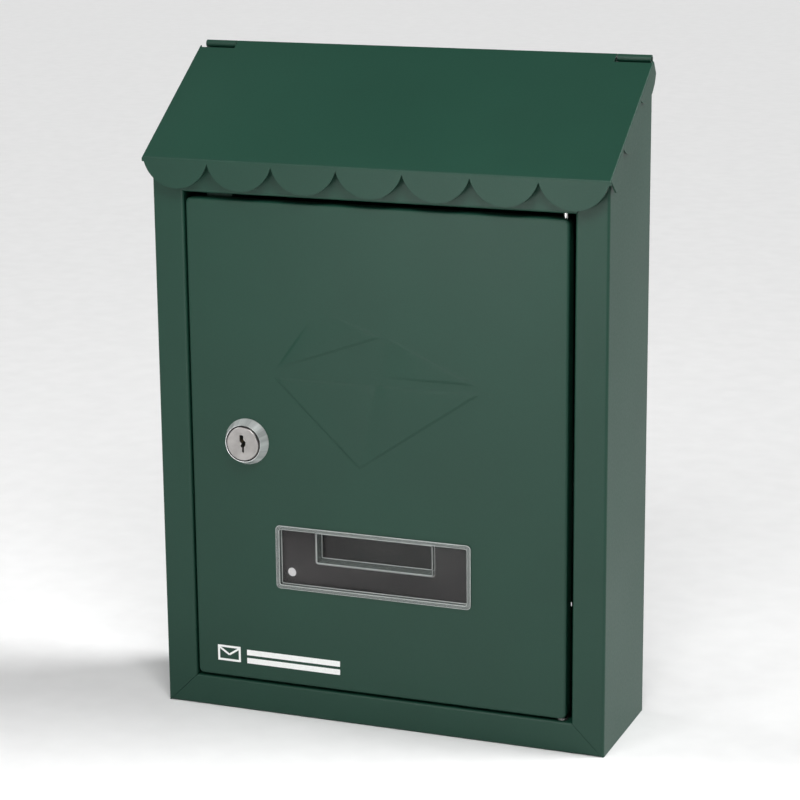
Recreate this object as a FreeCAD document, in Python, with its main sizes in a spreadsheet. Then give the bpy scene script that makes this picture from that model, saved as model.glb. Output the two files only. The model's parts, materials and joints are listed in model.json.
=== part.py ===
import FreeCAD, Part
import Sketcher
import os
from math import atan2, degrees, pi, sqrt

# Wall mounted mailbox of folded sheet steel. Millimetres, +X to the right seen from the front,
# +Y into the wall, +Z up. The origin is the centre of the four wall holes, on the back face.
# Every sub-part is drawn from the underside of the case upwards, and its Placement brings it down.

# Driving dimensions. Each one becomes a spreadsheet cell with this alias.
DIMENSIONS = {
    # case
    "case_width": 210, "case_depth": 62, "sheet": 0.7, "bend": 0.5, "outer_bend": 1.2,
    "stile": 14.8, "sill": 14.1, "lip": 6.5, "head_height": 239.2, "seam": 0.1,
    "side_top_front": 257.2, "side_top_back": 293.7, "tab_width": 10,
    "hole_radius": 2.2, "hole_spread": 137.4, "hole_rise": 200, "hole_centre": 147,
    # lid hinge
    "hinge_height": 297.2, "wire_radius": 1.0, "wire_gap": 0.05, "knuckle_length": 15,
    # lid
    "lid_width": 214, "lid_reach": 67.8, "lid_slope": 34.04, "lid_notch": 6.5, "curl_width": 179,
    "scallop_pitch": 30.3, "scallop_radius": 15.8, "cusp_drop": 2.0, "lobe_drop": 13.4,
    "side_lobe_start": 3.4, "side_lobe_end": 78.3, "side_cusp": 27.5, "side_cusp_drop": 0.9,
    "side_corner_drop": 6.8, "side_front_relief": 3.2, "side_front_drop": 9.6, "side_fold": 0.6,
    # door
    "door_left": -89.3, "door_right": 87.5, "door_bottom": 15.3, "door_top": 236.8,
    "door_depth": 7, "door_corner": 2.5, "pivot_x": 85, "pivot_y": -58, "rod_radius": 1.2,
    "stop_left": -82, "stop_width": 12, "stop_height": 6,
    # pressed envelope on the door
    "relief_left": -48, "relief_right": 47.5, "relief_middle": 158, "relief_top": 181,
    "relief_top_x": 5, "relief_bottom": 120, "relief_bottom_x": -8, "relief_rise": 0.6,
    "relief_inset": 8,
    # name window
    "window_x": -2.55, "window_z": 75.6, "window_width": 92.9, "window_height": 29.6,
    "window_proud": 0.8, "window_rim": 1.9, "window_wall": 0.8, "window_recess": 2.6,
    "pane": 1.0, "window_gap": 0.2, "finger_left": -30, "finger_right": 25, "finger_bottom": 74,
    "finger_top": 87.4, "finger_depth": 5.2, "rim_corner": 2, "tray_corner": 1.2,
    "recess_corner": 0.8, "clip_width": 12, "clip_rise": 0.5, "clip_thick": 0.8,
    # cam lock, measured from the door's front face along its own axis
    "lock_x": -62, "lock_z": 128, "bezel_radius": 10.5, "bezel_face": 8.45, "bezel_height": 5,
    "bezel_land": 0.5, "head_radius": 7.65, "head_gap": 0.4, "head_depth": 2, "face_proud": 0.35,
    "head_chamfer": 0.3,
    "barrel_radius": 8, "barrel_flat": 7, "barrel_length": 16, "plug_radius": 6, "plug_gap": 0.06,
    "groove_depth": 1, "clip_plate": 1, "clip_radius": 12, "keeper_half": 1.6, "keeper_top": 7.1,
    "keeper_length": 10.8, "lug_half": 1, "lug_in": 6.2, "lug_out": 7.8,
    "square": 2.5, "square_gap": 0.05, "square_length": 2.4, "thread_radius": 2, "thread_length": 4.6,
    "bore_depth": 5, "screw_gap": 0.05, "keyway_depth": 16.8,
    "washer_plate": 1.0, "washer_radius": 8, "washer_root": 5.8, "washer_start": 78,
    "washer_end": 192, "cam_plate": 1.5, "cam_half": 6, "cam_corner": 5, "cam_length": 35,
    "cam_crank": 8.5, "crank_start": 10, "crank_run": 7, "crank_lead": 1.2, "spring_washer": 0.8,
    "split_half": 0.3, "screw_head": 3.6, "screw_head_height": 2.2, "screw_round": 1.2,
    "cross_half": 0.5, "cross_reach": 2.2, "cross_depth": 1.2,
    # wafers and their springs inside the plug
    "wafer_half": 2, "wafer_reach": 5.4, "wafer_plate": 0.8, "wafer_gap": 0.06,
    "wafer_first": -2.6, "wafer_pitch": 2.4, "wafer_window": 1.4, "wafer_window_reach": 2.4,
    "spring_radius": 0.55, "spring_wire": 0.12, "spring_x": 3.1, "spring_length": 3.0,
    "spring_turns": 5, "spring_well": 0.8,
    # clearance by which a cutting sketch passes the material it cuts, and one that parts stay apart by
    "past": 1, "slack": 0.05,
    # tabs welded inside the walls, and where the rolled edges end
    "tray_tab_inset": 8, "head_tab_inset": 3, "head_tab_rise": 2, "crown_drop": 1.5,
    "knuckle_end": 290, "curl_end": -130, "rod_head": 0.95, "rod_head_lip": 0.8,
    "washer_lip": 1.3,
}
# Height of each wafer's window above its middle: the cuts of the key.
WAFER_CUTS = (0.4, -0.3, 0.1, -0.5, 0.2)
# Outline of the keyway on the plug's face, x and height, going round.
KEYWAY = [("-1.3", "4"), ("-1.3", "1.2"), ("-0.3", "0.2"), ("-1", "-1"), ("-0.2", "-1.6"),
          ("-0.2", "-3.8"), ("0.7", "-3.8"), ("0.7", "-1.4"), ("1.5", "-0.4"), ("1.5", "1"),
          ("0.5", "2"), ("0.5", "4")]

PLANES = {"top": "XY_Plane", "front": "XZ_Plane", "side": "YZ_Plane"}

doc = FreeCAD.newDocument("mailbox")
sheet = doc.addObject("Spreadsheet::Sheet", "Dims")
for row, (alias, number) in enumerate(DIMENSIONS.items(), start=1):
    sheet.set(f"A{row}", alias)
    sheet.set(f"B{row}", str(number))
    sheet.setAlias(f"B{row}", alias)
doc.recompute()

parts = []


# ---------------------------------------------------------------- helpers

def size(expression):
    """The number that an expression over the sheet's cells has now."""
    return float(sheet.evalExpression(expression))


def new_body(label):
    """A body in the case's own coordinates, brought down so that the origin is at the wall holes."""
    body = doc.addObject("PartDesign::Body", label)
    body.Label = label
    body.setExpression("Placement.Base.z", "-Dims.hole_centre")
    parts.append(body)
    return body


def new_lock_body(label):
    """A body whose own +Z is the lock's axis, pointing out of the door, with the door's face at 0."""
    body = doc.addObject("PartDesign::Body", label)
    body.Label = label
    body.Placement = FreeCAD.Placement(
        FreeCAD.Vector(0, 0, 0), FreeCAD.Rotation(FreeCAD.Vector(1, 0, 0), 90))
    body.setExpression("Placement.Base.x", "Dims.lock_x")
    body.setExpression("Placement.Base.y", "-Dims.case_depth")
    body.setExpression("Placement.Base.z", "Dims.lock_z - Dims.hole_centre")
    parts.append(body)
    return body


def new_sketch(body, name, view, level):
    """An empty sketch on one of the body's planes, moved along its world axis to level."""
    sketch = body.newObject("Sketcher::SketchObject", f"{body.Name}_{name}")
    plane = [item for item in body.Origin.OriginFeatures if item.Role == PLANES[view]][0]
    sketch.AttachmentSupport = [(plane, "")]
    sketch.MapMode = "FlatFace"
    sign = "-" if view == "front" else ""
    sketch.setExpression("AttachmentOffset.Base.z", f"{sign}({level})")
    return sketch


def pin_point(sketch, geometry, position, x, y):
    """Hold a point of a sketch at x, y, both expressions over the sheet."""
    for kind, expression in (("DistanceX", x), ("DistanceY", y)):
        index = sketch.addConstraint(
            Sketcher.Constraint(kind, -1, 1, geometry, position, size(expression)))
        sketch.setExpression(f"Constraints[{index}]", expression)


def arc_between(start, end, radius, turn):
    """The short arc from start to end. turn is 1 anticlockwise, -1 clockwise."""
    chord = end - start
    half = chord.Length / 2
    normal = FreeCAD.Vector(-chord.y, chord.x, 0).normalize()
    centre = (start + end) / 2 + normal * turn * sqrt(max(radius ** 2 - half ** 2, 0))
    angles = [atan2(point.y - centre.y, point.x - centre.x) for point in (start, end)]
    if turn < 0:
        angles.reverse()
    if angles[1] < angles[0]:
        angles[1] += 2 * pi
    return Part.ArcOfCircle(Part.Circle(centre, FreeCAD.Vector(0, 0, 1), radius), *angles)


def outline(body, name, view, level, path):
    """A closed sketch. Each step of path is the point it runs to, and for an arc its radius and turn.
    The last step runs to where the first one starts."""
    sketch = new_sketch(body, name, view, level)
    points = [FreeCAD.Vector(size(step[0]), size(step[1]), 0) for step in path]
    ends = []
    for index, step in enumerate(path):
        start, end = points[index - 1], points[index]
        if len(step) == 2:
            geometry = sketch.addGeometry(Part.LineSegment(start, end), False)
            ends.append((geometry, 1, 2))
        else:
            geometry = sketch.addGeometry(arc_between(start, end, size(step[2]), step[3]), False)
            ends.append((geometry, 1, 2) if step[3] > 0 else (geometry, 2, 1))
            radius = sketch.addConstraint(Sketcher.Constraint("Radius", geometry, size(step[2])))
            sketch.setExpression(f"Constraints[{radius}]", step[2])
    for index, step in enumerate(path):
        geometry, first, last = ends[index]
        after, after_first, _ = ends[(index + 1) % len(ends)]
        sketch.addConstraint(Sketcher.Constraint("Coincident", geometry, last, after, after_first))
        pin_point(sketch, geometry, last, step[0], step[1])
    return sketch


def circles(body, name, view, level, centres, radius):
    """A sketch of equal circles."""
    sketch = new_sketch(body, name, view, level)
    for x, y in centres:
        centre = FreeCAD.Vector(size(x), size(y), 0)
        circle = Part.Circle(centre, FreeCAD.Vector(0, 0, 1), size(radius))
        geometry = sketch.addGeometry(circle, False)
        pin_point(sketch, geometry, 3, x, y)
        index = sketch.addConstraint(Sketcher.Constraint("Radius", geometry, size(radius)))
        sketch.setExpression(f"Constraints[{index}]", radius)
    return sketch


def rectangle(x_low, y_low, x_high, y_high, corner=None):
    """The path of a rectangle, with rounded corners if corner is given."""
    if corner is None:
        return [(x_low, y_low), (x_high, y_low), (x_high, y_high), (x_low, y_high)]
    left, right = f"{x_low} + {corner}", f"{x_high} - {corner}"
    low, high = f"{y_low} + {corner}", f"{y_high} - {corner}"
    return [(left, y_low), (right, y_low), (x_high, low, corner, 1), (x_high, high),
            (right, y_high, corner, 1), (left, y_high), (x_low, high, corner, 1), (x_low, low),
            (left, y_low, corner, 1)][1:]


def is_front(sketch):
    return sketch.AttachmentSupport[0][0].Role == PLANES["front"]


def pad(body, name, sketch, length):
    """Add material from the sketch towards its positive world axis."""
    feature = body.newObject("PartDesign::Pad", f"{body.Name}_{name}")
    feature.Profile = sketch
    feature.Reversed = is_front(sketch)
    feature.setExpression("Length", length)
    doc.recompute()
    return feature


def pocket(body, name, sketch, length):
    """Remove material from the sketch towards its positive world axis."""
    feature = body.newObject("PartDesign::Pocket", f"{body.Name}_{name}")
    feature.Profile = sketch
    feature.Reversed = not is_front(sketch)
    feature.setExpression("Length", length)
    doc.recompute()
    return feature


def revolve(body, name, path):
    """A solid turned about the body's own Z axis from a half section of radius and height."""
    sketch = outline(body, f"{name}_section", "front", "0", path)
    feature = body.newObject("PartDesign::Revolution", f"{body.Name}_{name}")
    feature.Profile = sketch
    feature.ReferenceAxis = (sketch, ["V_Axis"])
    feature.Angle = 360
    doc.recompute()
    return feature


def fillet(body, name, chosen, radius):
    """Round the edges of the body so far for which chosen(edge, its two end points) is true."""
    base = body.Tip
    names = []
    for number, edge in enumerate(base.Shape.Edges, start=1):
        ends = [vertex.Point for vertex in edge.Vertexes]
        if len(ends) == 2 and chosen(edge, ends):
            names.append(f"Edge{number}")
    feature = body.newObject("PartDesign::Fillet", f"{body.Name}_{name}")
    feature.Base = (base, names)
    feature.setExpression("Radius", radius)
    doc.recompute()
    return feature


def round_bends(body, name, axis, corners, radius):
    """Round the edges that run along axis (0, 1 or 2) through the corners given as expressions."""
    others = [index for index in range(3) if index != axis]
    targets = [(size(first), size(second)) for first, second in corners]

    def on_a_corner(edge, ends):
        if abs(ends[0][axis] - ends[1][axis]) < edge.Length * 0.999:
            return False
        here = [ends[0][index] for index in others]
        return any(abs(here[0] - x) + abs(here[1] - y) < 0.01 for x, y in targets)

    return fillet(body, name, on_a_corner, radius)


def both_sides(x, y):
    """A corner and its mirror image about the middle plane."""
    return [(x, y), (f"-({x})", y)]


# ---------------------------------------------------------------- expressions used by several parts

HALF = "Dims.case_width / 2"
FRONT = "-Dims.case_depth"
OPENING = f"({HALF} - Dims.stile)"
INNER = f"({HALF} - Dims.sheet)"
KNUCKLE_IN = "(Dims.wire_radius + Dims.wire_gap)"
KNUCKLE_OUT = "(Dims.wire_radius + Dims.wire_gap + Dims.sheet)"
HINGE_Y = f"-{KNUCKLE_OUT}"
DOOR_MIDDLE = "(Dims.door_left + Dims.door_right) / 2"


def around_wire(radius, angle):
    """A point about the lid's wire, in the side view. The angle is in degrees from +Y towards +Z."""
    return f"{HINGE_Y} + {radius} * cos({angle})", f"Dims.hinge_height + {radius} * sin({angle})"


def on_slope(along, down):
    """A point measured down the lid's slope from where it leaves the curl, and square to it."""
    y = (f"{HINGE_Y} - {KNUCKLE_OUT} * sin(Dims.lid_slope) - ({along}) * cos(Dims.lid_slope)"
         f" + ({down}) * sin(Dims.lid_slope)")
    z = (f"Dims.hinge_height + {KNUCKLE_OUT} * cos(Dims.lid_slope) - ({along}) * sin(Dims.lid_slope)"
         f" - ({down}) * cos(Dims.lid_slope)")
    return y, z


FOLD_ALONG = (f"((Dims.lid_reach - {KNUCKLE_OUT} - {KNUCKLE_OUT} * sin(Dims.lid_slope))"
              f" / cos(Dims.lid_slope))")
FOLD_Z = on_slope(FOLD_ALONG, "0")[1]


# ---------------------------------------------------------------- case

def make_case_wrap():
    """Back and both sides folded from one sheet, with front stiles, return lips and hinge knuckles."""
    body = new_body("case_wrap")
    lip_end = f"{FRONT} + Dims.lip"
    inside_front = f"{FRONT} + Dims.sheet"
    inside_lip = f"({OPENING} + Dims.sheet)"
    right = [(HALF, "0"), (HALF, FRONT), (OPENING, FRONT), (OPENING, lip_end),
             (inside_lip, lip_end), (inside_lip, inside_front), (INNER, inside_front),
             (INNER, "-Dims.sheet")]
    left = [(f"-({x})", y) for x, y in reversed(right)]
    pad(body, "fold", outline(body, "section", "top", "0", right + left), "Dims.hinge_height")
    outer = both_sides(HALF, "0") + both_sides(HALF, FRONT) + both_sides(OPENING, FRONT)
    inner = (both_sides(INNER, "-Dims.sheet") + both_sides(INNER, inside_front)
             + both_sides(inside_lip, inside_front))
    round_bends(body, "outer_bends", 2, outer, "Dims.outer_bend")
    round_bends(body, "inner_bends", 2, inner, "Dims.bend")

    # Sides cut to the lid's slope.
    top_cut = [(f"{FRONT} - 1", "Dims.side_top_front - tan(Dims.lid_slope)"),
               ("-(Dims.case_depth - (Dims.side_top_back - Dims.side_top_front)"
                " / tan(Dims.lid_slope))", "Dims.side_top_back"),
               ("1", "Dims.side_top_back"), ("1", "Dims.hinge_height + 1"),
               (f"{FRONT} - 1", "Dims.hinge_height + 1")]
    pocket(body, "slope", outline(body, "slope_cut", "side", f"-{HALF} - 1", top_cut),
           "Dims.case_width + 2")

    # Stiles mitred to meet the sill below and the head rail above.
    reach = f"({OPENING} - 3)"
    for side, sign in (("right", ""), ("left", "-")):
        low = [(f"{sign}({INNER})", "-1"), (f"{sign}({INNER})", "Dims.seam"),
               (f"{sign}({OPENING})", "Dims.sill + Dims.seam"),
               (f"{sign}{reach}", "Dims.sill + Dims.seam"), (f"{sign}{reach}", "-1")]
        high = [(f"{sign}({INNER})", "Dims.hinge_height"),
                (f"{sign}({INNER})", "Dims.head_height + Dims.sill - Dims.seam"),
                (f"{sign}({OPENING})", "Dims.head_height - Dims.seam"),
                (f"{sign}{reach}", "Dims.head_height - Dims.seam"),
                (f"{sign}{reach}", "Dims.hinge_height")]
        for name, path in (("low", low), ("high", high)):
            sketch = outline(body, f"{name}_mitre_{side}", "front", f"{FRONT} - 1", path)
            pocket(body, f"{name}_{side}", sketch, "Dims.lip + 2")

    # Knuckles rolled from the back at both ends of its top edge.
    knuckle = [around_wire(KNUCKLE_OUT, "0"), around_wire(KNUCKLE_OUT, "90") + (KNUCKLE_OUT, 1),
               around_wire(KNUCKLE_OUT, "180") + (KNUCKLE_OUT, 1),
               around_wire(KNUCKLE_OUT, "Dims.knuckle_end") + (KNUCKLE_OUT, 1),
               around_wire(KNUCKLE_IN, "Dims.knuckle_end"),
               around_wire(KNUCKLE_IN, "180") + (KNUCKLE_IN, -1),
               around_wire(KNUCKLE_IN, "90") + (KNUCKLE_IN, -1),
               around_wire(KNUCKLE_IN, "0") + (KNUCKLE_IN, -1),
               ("-Dims.sheet", "Dims.side_top_back - 2"), ("0", "Dims.side_top_back - 2")]
    for side, level in (("left", f"-{HALF}"), ("right", f"{HALF} - Dims.knuckle_length")):
        sketch = outline(body, f"knuckle_{side}", "side", level, knuckle)
        pad(body, f"roll_{side}", sketch, "Dims.knuckle_length")

    spread, rise = "Dims.hole_spread / 2", "Dims.hole_rise / 2"
    centres = [(f"{x}{spread}", f"Dims.hole_centre {z} {rise}") for x in ("", "-") for z in "+-"]
    holes = circles(body, "wall_holes", "front", "-Dims.sheet - 1", centres, "Dims.hole_radius")
    pocket(body, "holes", holes, "Dims.sheet + 2")


def rod_hole(body, level):
    """Hole for the door's hinge rod through a rail's lip, from level up."""
    sketch = circles(body, "rod_hole", "top", level, [("Dims.pivot_x", "Dims.pivot_y")],
                     "Dims.rod_radius + Dims.wire_gap")
    pocket(body, "rod", sketch, "Dims.sheet + 1")


def make_bottom_tray():
    """Floor of the case, with the front sill, its return lip and tabs welded inside the walls."""
    body = new_body("bottom_tray")
    front_in, lip_end = f"{FRONT} + Dims.sheet", f"{FRONT} + Dims.lip"
    back_out, back_in = "-Dims.sheet", "-2 * Dims.sheet"
    section = [(back_out, "0"), (back_out, "Dims.tab_width"), (back_in, "Dims.tab_width"),
               (back_in, "Dims.sheet"), (front_in, "Dims.sheet"),
               (front_in, "Dims.sill - Dims.sheet"), (lip_end, "Dims.sill - Dims.sheet"),
               (lip_end, "Dims.sill"), (FRONT, "Dims.sill"), (FRONT, "0")]
    pad(body, "fold", outline(body, "section", "side", f"-{INNER}", section), f"2 * {INNER}")
    outer = [(back_out, "0"), (FRONT, "0"), (FRONT, "Dims.sill")]
    inner = [(back_in, "Dims.sheet"), (front_in, "Dims.sheet"), (front_in, "Dims.sill - Dims.sheet")]
    round_bends(body, "outer_bends", 0, outer, "Dims.outer_bend")
    round_bends(body, "inner_bends", 0, inner, "Dims.bend")
    round_bends(body, "back_corners", 2, both_sides(INNER, back_out), "Dims.bend")
    for side, sign in (("right", ""), ("left", "-")):
        mitre = [(f"{sign}({INNER} + 1)", "-1"), (f"{sign}({INNER} - Dims.sheet)", "-1"),
                 (f"{sign}({INNER} - Dims.sheet)", "Dims.sheet"),
                 (f"{sign}({OPENING} - Dims.seam)", "Dims.sill"),
                 (f"{sign}({OPENING} - Dims.seam)", "Dims.sill + 1"),
                 (f"{sign}({INNER} + 1)", "Dims.sill + 1")]
        sketch = outline(body, f"mitre_{side}", "front", f"{FRONT} - 1", mitre)
        pocket(body, f"mitre_cut_{side}", sketch, "Dims.lip + 2")
        tab_x = f"-{INNER}" if sign else f"{INNER} - Dims.sheet"
        tab = rectangle(f"{FRONT} + Dims.tray_tab_inset", "Dims.sheet / 2", "-Dims.tray_tab_inset",
                        "Dims.tab_width")
        pad(body, f"tab_{side}", outline(body, f"tab_outline_{side}", "side", tab_x, tab), "Dims.sheet")
    rod_hole(body, "Dims.sill - Dims.sheet - 0.5")
    add_door_stop(body, "Dims.sill - Dims.sheet", "Dims.sill + Dims.stop_height")


def add_door_stop(body, low, high):
    """Tab turned off a rail's lip, just behind the closed door's flange."""
    front = f"{FRONT} + Dims.door_depth + 2 * Dims.slack"
    back = f"{front} + Dims.sheet"
    plate = outline(body, "stop_plate", "side", "Dims.stop_left", rectangle(front, low, back, high))
    pad(body, "stop", plate, "Dims.stop_width")
    foot = low if "sill" in low else "Dims.head_height"
    link = rectangle(f"{FRONT} + Dims.lip - 0.5", foot, back, f"{foot} + Dims.sheet")
    pad(body, "stop_foot", outline(body, "stop_link", "side", "Dims.stop_left", link),
        "Dims.stop_width")


def make_head_rail():
    """Rail above the door, with a lip over the door, a stiffening lip on top and end tabs."""
    body = new_body("head_rail")
    front_in, lip_end = f"{FRONT} + Dims.sheet", f"{FRONT} + Dims.lip"
    crown = "(Dims.side_top_front - Dims.crown_drop)"
    section = [(FRONT, "Dims.head_height"), (lip_end, "Dims.head_height"),
               (lip_end, "Dims.head_height + Dims.sheet"), (front_in, "Dims.head_height + Dims.sheet"),
               (front_in, f"{crown} - Dims.sheet"), (lip_end, f"{crown} - Dims.sheet"),
               (lip_end, crown), (FRONT, crown)]
    pad(body, "fold", outline(body, "section", "side", f"-{INNER}", section), f"2 * {INNER}")
    outer = [(FRONT, "Dims.head_height"), (FRONT, crown)]
    inner = [(front_in, "Dims.head_height + Dims.sheet"), (front_in, f"{crown} - Dims.sheet")]
    round_bends(body, "outer_bends", 0, outer, "Dims.outer_bend")
    round_bends(body, "inner_bends", 0, inner, "Dims.bend")
    for side, sign in (("right", ""), ("left", "-")):
        mitre = [(f"{sign}({INNER} + 1)", "Dims.head_height - 1"),
                 (f"{sign}({OPENING} - Dims.seam)", "Dims.head_height - 1"),
                 (f"{sign}({OPENING} - Dims.seam)", "Dims.head_height"),
                 (f"{sign}{INNER}", "Dims.head_height + Dims.sill"),
                 (f"{sign}({INNER} + 1)", "Dims.head_height + Dims.sill")]
        sketch = outline(body, f"mitre_{side}", "front", f"{FRONT} - 1", mitre)
        pocket(body, f"mitre_cut_{side}", sketch, "Dims.lip + 2")
        tab_x = f"-{INNER}" if sign else f"{INNER} - Dims.sheet"
        tab = rectangle(f"{FRONT} + Dims.head_tab_inset", "Dims.head_height + Dims.head_tab_rise",
                        f"{FRONT} + Dims.head_tab_inset + Dims.tab_width",
                        f"{crown} - Dims.sheet / 2")
        pad(body, f"tab_{side}", outline(body, f"tab_outline_{side}", "side", tab_x, tab), "Dims.sheet")
    rod_hole(body, "Dims.head_height - 0.5")
    add_door_stop(body, "Dims.head_height - Dims.stop_height", "Dims.head_height + Dims.sheet")


def make_lid_wire():
    """Steel wire through the knuckles and the lid's curl."""
    body = new_body("lid_hinge_wire")
    sketch = circles(body, "end", "side", f"-{HALF} + 0.5", [(HINGE_Y, "Dims.hinge_height")],
                     "Dims.wire_radius")
    pad(body, "wire", sketch, "Dims.case_width - 1")


def make_door_rod():
    """Hinge rod of the door, with a peened head that rests on the head rail's lip."""
    body = new_body("door_hinge_rod")
    centre = [("Dims.pivot_x", "Dims.pivot_y")]
    low = "Dims.sill - Dims.sheet - 2"
    rod = circles(body, "end", "top", low, centre, "Dims.rod_radius")
    pad(body, "rod", rod, f"Dims.head_height + Dims.sheet + 1 - ({low})")
    head = circles(body, "head_outline", "top", "Dims.head_height + Dims.sheet + Dims.slack", centre,
                   "Dims.rod_radius + Dims.rod_head_lip")
    pad(body, "head", head, "Dims.rod_head")


def make_pivot_washer():
    """Washer on the hinge rod that carries the door just clear of the sill."""
    body = new_body("door_pivot_washer")
    centre = [("Dims.pivot_x", "Dims.pivot_y")]
    thick = "(Dims.door_bottom - Dims.sill - 2 * Dims.slack)"
    ring = circles(body, "ring", "top", "Dims.sill", centre, "Dims.rod_radius + Dims.washer_lip")
    pad(body, "washer", ring, thick)
    hole = circles(body, "hole", "top", "Dims.sill - 1", centre, "Dims.rod_radius + Dims.wire_gap")
    pocket(body, "hole_cut", hole, "4")


# ---------------------------------------------------------------- lid

def make_lid():
    """Roof folded from one sheet: rear curl, sloping plate, scalloped front and side flanges."""
    body = new_body("lid")
    thick_fold = "(Dims.sheet * tan((90 - Dims.lid_slope) / 2))"
    inner_fold = on_slope(f"{FOLD_ALONG} - {thick_fold}", "Dims.sheet")
    reach = "-Dims.lid_reach"
    flange_bottom = f"{FOLD_Z} - Dims.lobe_drop"
    section = [(reach, FOLD_Z), (reach, flange_bottom), (f"{reach} + Dims.sheet", flange_bottom),
               (f"{reach} + Dims.sheet", inner_fold[1]),
               around_wire(KNUCKLE_IN, "90 + Dims.lid_slope"),
               around_wire(KNUCKLE_IN, "0") + (KNUCKLE_IN, -1),
               around_wire(KNUCKLE_IN, "Dims.curl_end") + (KNUCKLE_IN, -1),
               around_wire(KNUCKLE_OUT, "Dims.curl_end"),
               around_wire(KNUCKLE_OUT, "0") + (KNUCKLE_OUT, 1),
               around_wire(KNUCKLE_OUT, "90 + Dims.lid_slope") + (KNUCKLE_OUT, 1)]
    half = "Dims.lid_width / 2"
    pad(body, "fold", outline(body, "section", "side", f"-{half}", section), "Dims.lid_width")
    round_bends(body, "front_bend", 0, [(reach, FOLD_Z)], "Dims.outer_bend")

    # Rear corners cut away around the case's knuckles.
    for side, low, high in (("left", f"-{half} - 1", "-Dims.curl_width / 2"),
                            ("right", "Dims.curl_width / 2", f"{half} + 1")):
        notch = outline(body, f"notch_{side}", "top", "Dims.hinge_height - 10",
                        rectangle(low, "-Dims.lid_notch", high, "1"))
        pocket(body, f"notch_cut_{side}", notch, "20")

    # Seven scallops, cut out of the front flange from below.
    cusp_z = f"{FOLD_Z} - Dims.cusp_drop"
    cusps = [f"{step} * Dims.scallop_pitch" for step in (-3.5, -2.5, -1.5, -0.5, 0.5, 1.5, 2.5, 3.5)]
    waste = [(f"-{half} - 1", cusp_z), (cusps[0], cusp_z)]
    waste += [(cusp, cusp_z, "Dims.scallop_radius", 1) for cusp in cusps[1:]]
    waste += [(f"{half} + 1", cusp_z), (f"{half} + 1", f"{flange_bottom} - 5"),
              (f"-{half} - 1", f"{flange_bottom} - 5")]
    pocket(body, "scallops", outline(body, "scallop_waste", "front", f"{reach} - 1", waste), "3")

    # Side flanges with the same scallops, cut short at both ends.
    lobe = ("Dims.scallop_radius", 1)
    edge = [on_slope("Dims.side_lobe_start", "0"), on_slope("Dims.side_lobe_end", "0"),
            on_slope("Dims.side_lobe_end - Dims.side_front_relief", "Dims.side_front_drop"),
            on_slope("Dims.side_cusp + Dims.scallop_pitch", "Dims.side_cusp_drop") + lobe,
            on_slope("Dims.side_cusp", "Dims.side_cusp_drop") + lobe,
            on_slope("Dims.side_lobe_start", "Dims.side_corner_drop") + lobe]
    for side, level in (("left", f"-{half}"), ("right", f"{half} - Dims.sheet")):
        pad(body, f"flange_{side}", outline(body, f"flange_edge_{side}", "side", level, edge),
            "Dims.sheet")

    def on_side_fold(edge, ends):
        """One of the two long straight edges that run down the slope at the roof's sides."""
        run = ends[1] - ends[0]
        slope = degrees(atan2(abs(run.z), abs(run.y)))
        outside = all(abs(abs(end.x) - size(half)) < 0.01 for end in ends)
        straight = run.Length > max(10, edge.Length - 0.01)
        return outside and straight and abs(slope - size("Dims.lid_slope")) < 0.05

    fillet(body, "side_folds", on_side_fold, "Dims.side_fold")


# ---------------------------------------------------------------- door

def lozenge(inset):
    """Corners of the pressed envelope, drawn in by inset from each corner."""
    return [(f"Dims.relief_left + 2 * {inset}", "Dims.relief_middle"),
            ("Dims.relief_bottom_x", f"Dims.relief_bottom + {inset}"),
            (f"Dims.relief_right - 2 * {inset}", "Dims.relief_middle"),
            ("Dims.relief_top_x", f"Dims.relief_top - {inset}")]


def loft(body, kind, name, outer, inner):
    """Join two sketches with straight sides, adding or removing material."""
    feature = body.newObject(f"PartDesign::{kind}", f"{body.Name}_{name}")
    feature.Profile = outer
    feature.Sections = [(inner, [""])]
    feature.Ruled = True
    doc.recompute()
    return feature


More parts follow.
